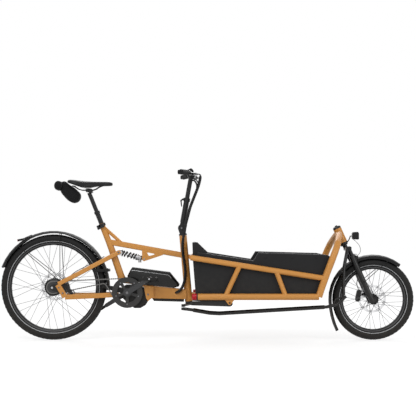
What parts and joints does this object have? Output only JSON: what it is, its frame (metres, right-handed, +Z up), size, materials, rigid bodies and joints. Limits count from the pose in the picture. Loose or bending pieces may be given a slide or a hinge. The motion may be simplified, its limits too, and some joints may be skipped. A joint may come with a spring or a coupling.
{
  "type": "electric cargo bike",
  "caption": "Long two-wheeled electric cargo bike with a low open loading box between the head tube and the smaller front wheel, rod steering, rear suspension and a mid motor.",
  "frame": {"origin": "on the ground, midway between the front and rear ends and in the middle of the width", "axes": "+X points forward, +Y to the rider's left and +Z up; the chain is on the -Y side"},
  "size_m": [2.617, 0.6868, 1.0872],
  "materials": {
    "frame_paint": "satin orange paint",
    "box_panel": "matt black panel",
    "black_casing": "black moulded plastic",
    "black_metal": "satin black coating",
    "grey_metal": "grey anodised",
    "bright_steel": "plain steel",
    "wheel_metal": "black rim, plain spokes",
    "tyre_rubber": "black tyre rubber",
    "grip_rubber": "matt rubber",
    "cable_rubber": "smooth black sleeve",
    "saddle_cover": "smooth black cover",
    "bag_fabric": "black woven fabric",
    "red_lens": "clear red plastic"
  },
  "bodies": {
    "frame": {"rear_frame": "frame_paint", "cargo_frame": "frame_paint", "cargo_floor": "box_panel", "side_panel_right": "box_panel", "side_panel_left": "box_panel", "rear_wall": "box_panel", "front_wall": "box_panel", "motor": "black_casing", "battery": "black_casing", "under_cover": "black_casing", "seat_clamp": "black_metal", "rail_cap_right": "black_casing", "rail_cap_left": "black_casing", "cable_sleeve": "cable_rubber"},
    "stand": {"kickstand": "black_metal"},
    "swingarm": {"swingarm": "frame_paint", "rear_axle": "black_metal", "rear_mudguard": "black_casing", "rear_light": "red_lens", "ring_lock": "black_casing", "rear_caliper": "black_metal", "chain_tensioner": "black_metal", "chain": "bright_steel"},
    "rear_wheel": {"rear_tyre": "tyre_rubber", "rear_wheel": "wheel_metal", "rear_brake_disc": "bright_steel"},
    "rear_sprocket": {"rear_sprocket": "bright_steel"},
    "tensioner_arm": {"tensioner_arm": "black_metal"},
    "idler_pulley": {"idler_pulley": "black_casing"},
    "shock_body": {"shock_body": "grey_metal", "shock_spring": "black_metal"},
    "shock_shaft": {"shock_shaft": "bright_steel"},
    "crank": {"crankset": "black_metal"},
    "pedal_right": {"pedal_right": "black_casing"},
    "pedal_left": {"pedal_left": "black_casing"},
    "seat_clamp_lever": {"seat_clamp_lever": "grey_metal"},
    "seat_sleeve": {"seat_sleeve": "black_metal"},
    "seat_shaft": {"seat_shaft": "black_metal", "saddle": "saddle_cover", "saddle_rails": "bright_steel", "saddle_bag": "bag_fabric"},
    "steering": {"steering_shaft": "black_metal", "stem_hinge": "black_metal"},
    "stem": {"stem_tube": "black_metal"},
    "stem_lever": {"stem_clamp_lever": "grey_metal"},
    "stem_riser": {"stem_riser": "black_metal", "handlebar": "black_metal", "grip_right": "grip_rubber", "grip_left": "grip_rubber", "display": "black_casing"},
    "brake_lever_right": {"brake_lever_right": "black_metal"},
    "brake_lever_left": {"brake_lever_left": "black_metal"},
    "fork": {"fork_crown": "black_metal", "headlight": "black_casing"},
    "fork_lowers": {"fork_lowers": "black_metal", "front_mudguard": "black_casing"},
    "front_wheel": {"front_tyre": "tyre_rubber", "front_wheel": "wheel_metal", "front_brake_disc": "bright_steel"},
    "tie_rod": {"tie_rod": "black_metal"}
  },
  "joints": [
    {"name": "stand_fold", "type": "hinge", "parent": "frame", "child": "stand", "pos_m": [0.13651, 0, 0.24949], "axis": [0, -1, 0], "range_deg": [0, 97]},
    {"name": "swingarm_travel", "type": "hinge", "parent": "frame", "child": "swingarm", "pos_m": [-0.583, 0, 0.287], "axis": [0, 1, 0], "range_deg": [0, 6.88], "stiffness_Nm_per_rad": 1000, "springref_deg": -11.46, "deforming": ["shock_spring", "chain"]},
    {"name": "rear_wheel_spin", "type": "hinge", "parent": "swingarm", "child": "rear_wheel", "pos_m": [-0.974, 0, 0.3345], "axis": [0, 1, 0], "continuous": true},
    {"name": "sprocket_spin", "type": "hinge", "parent": "swingarm", "child": "rear_sprocket", "pos_m": [-0.974, 0, 0.3345], "axis": [0, 1, 0], "continuous": true},
    {"name": "tensioner_swing", "type": "hinge", "parent": "swingarm", "child": "tensioner_arm", "pos_m": [-0.894, 0, 0.349], "axis": [0, 1, 0], "range_deg": [0, 15], "stiffness_Nm_per_rad": 1, "springref_deg": -17.19, "deforming": ["chain"]},
    {"name": "idler_spin", "type": "hinge", "parent": "frame", "child": "idler_pulley", "pos_m": [-0.6545, 0, 0.341], "axis": [0, 1, 0], "continuous": true},
    {"name": "shock_tilt", "type": "hinge", "parent": "frame", "child": "shock_body", "pos_m": [-0.4, 0, 0.513], "axis": [0, 1, 0], "range_deg": [0, 1.6], "deforming": ["shock_spring"]},
    {"name": "shock_stroke", "type": "slide", "parent": "shock_body", "child": "shock_shaft", "axis": [-0.9676, 0, 0.2524], "range_m": [-0.0325, 0], "deforming": ["shock_spring"]},
    {"name": "crank_spin", "type": "hinge", "parent": "frame", "child": "crank", "pos_m": [-0.504, 0, 0.303], "axis": [0, 1, 0], "continuous": true},
    {"name": "pedal_right_spin", "type": "hinge", "parent": "crank", "child": "pedal_right", "pos_m": [-0.35983, -0.136, 0.39309], "axis": [0, 1, 0], "continuous": true},
    {"name": "pedal_left_spin", "type": "hinge", "parent": "crank", "child": "pedal_left", "pos_m": [-0.64817, 0.136, 0.21291], "axis": [0, 1, 0], "continuous": true},
    {"name": "seat_clamp_open", "type": "hinge", "parent": "frame", "child": "seat_clamp_lever", "pos_m": [-0.69401, -0.0195, 0.71797], "axis": [0.3714, 0, -0.9285], "range_deg": [0, 149]},
    {"name": "seat_sleeve_slide", "type": "slide", "parent": "frame", "child": "seat_sleeve", "axis": [-0.3714, 0, 0.9285], "range_m": [-0.05, 0]},
    {"name": "seat_height", "type": "slide", "parent": "seat_sleeve", "child": "seat_shaft", "axis": [-0.3714, 0, 0.9285], "range_m": [-0.1, 0]},
    {"name": "steering_turn", "type": "hinge", "parent": "frame", "child": "steering", "pos_m": [-0.155, 0, 0.662], "axis": [-0.0889, 0, 0.996], "range_deg": [-25, 25], "deforming": ["cable_sleeve"]},
    {"name": "stem_tilt", "type": "hinge", "parent": "steering", "child": "stem", "pos_m": [-0.1625, 0, 0.7093], "axis": [0, 1, 0], "range_deg": [-15, 25], "deforming": ["cable_sleeve"]},
    {"name": "stem_clamp_open", "type": "hinge", "parent": "stem", "child": "stem_lever", "pos_m": [-0.15505, 0, 0.89187], "axis": [0, 1, 0], "range_deg": [0, 120]},
    {"name": "stem_height", "type": "slide", "parent": "stem", "child": "stem_riser", "axis": [0.1771, 0, 0.9842], "range_m": [-0.068, 0], "deforming": ["cable_sleeve"]},
    {"name": "brake_right_pull", "type": "hinge", "parent": "stem_riser", "child": "brake_lever_right", "pos_m": [-0.07311, -0.198, 1.04091], "axis": [0, 0, -1], "range_deg": [0, 20], "stiffness_Nm_per_rad": 1.5, "springref_deg": -11.46},
    {"name": "brake_left_pull", "type": "hinge", "parent": "stem_riser", "child": "brake_lever_left", "pos_m": [-0.07311, 0.198, 1.04091], "axis": [0, 0, 1], "range_deg": [0, 20], "stiffness_Nm_per_rad": 1.5, "springref_deg": -11.46},
    {"name": "fork_turn", "type": "hinge", "parent": "frame", "child": "fork", "pos_m": [0.824, 0, 0.705], "axis": [-0.4099, 0, 0.9121], "range_deg": [-25, 25]},
    {"name": "fork_travel", "type": "slide", "parent": "fork", "child": "fork_lowers", "axis": [-0.4099, 0, 0.9121], "range_m": [0, 0.03], "stiffness_N_per_m": 15000, "springref_m": -0.03},
    {"name": "front_wheel_spin", "type": "hinge", "parent": "fork_lowers", "child": "front_wheel", "pos_m": [1.0505, 0, 0.258], "axis": [0, 1, 0], "continuous": true},
    {"name": "tie_rod_swing", "type": "hinge", "parent": "fork", "child": "tie_rod", "pos_m": [0.85554, -0.12617, 0.27724], "axis": [-0.3631, 0.0372, 0.931], "range_deg": [-28, 28]}
  ],
  "couplings": [
    {"joint": "fork_turn", "follows": "steering_turn", "ratio": 1},
    {"joint": "tie_rod_swing", "follows": "steering_turn", "ratio": -1.09},
    {"joint": "shock_tilt", "follows": "swingarm_travel", "ratio": 0.226},
    {"joint": "shock_stroke", "follows": "swingarm_travel", "m_per_rad": -0.2666},
    {"joint": "sprocket_spin", "follows": "crank_spin", "ratio": 2.3158},
    {"joint": "idler_spin", "follows": "crank_spin", "ratio": -4.8889}
  ]
}
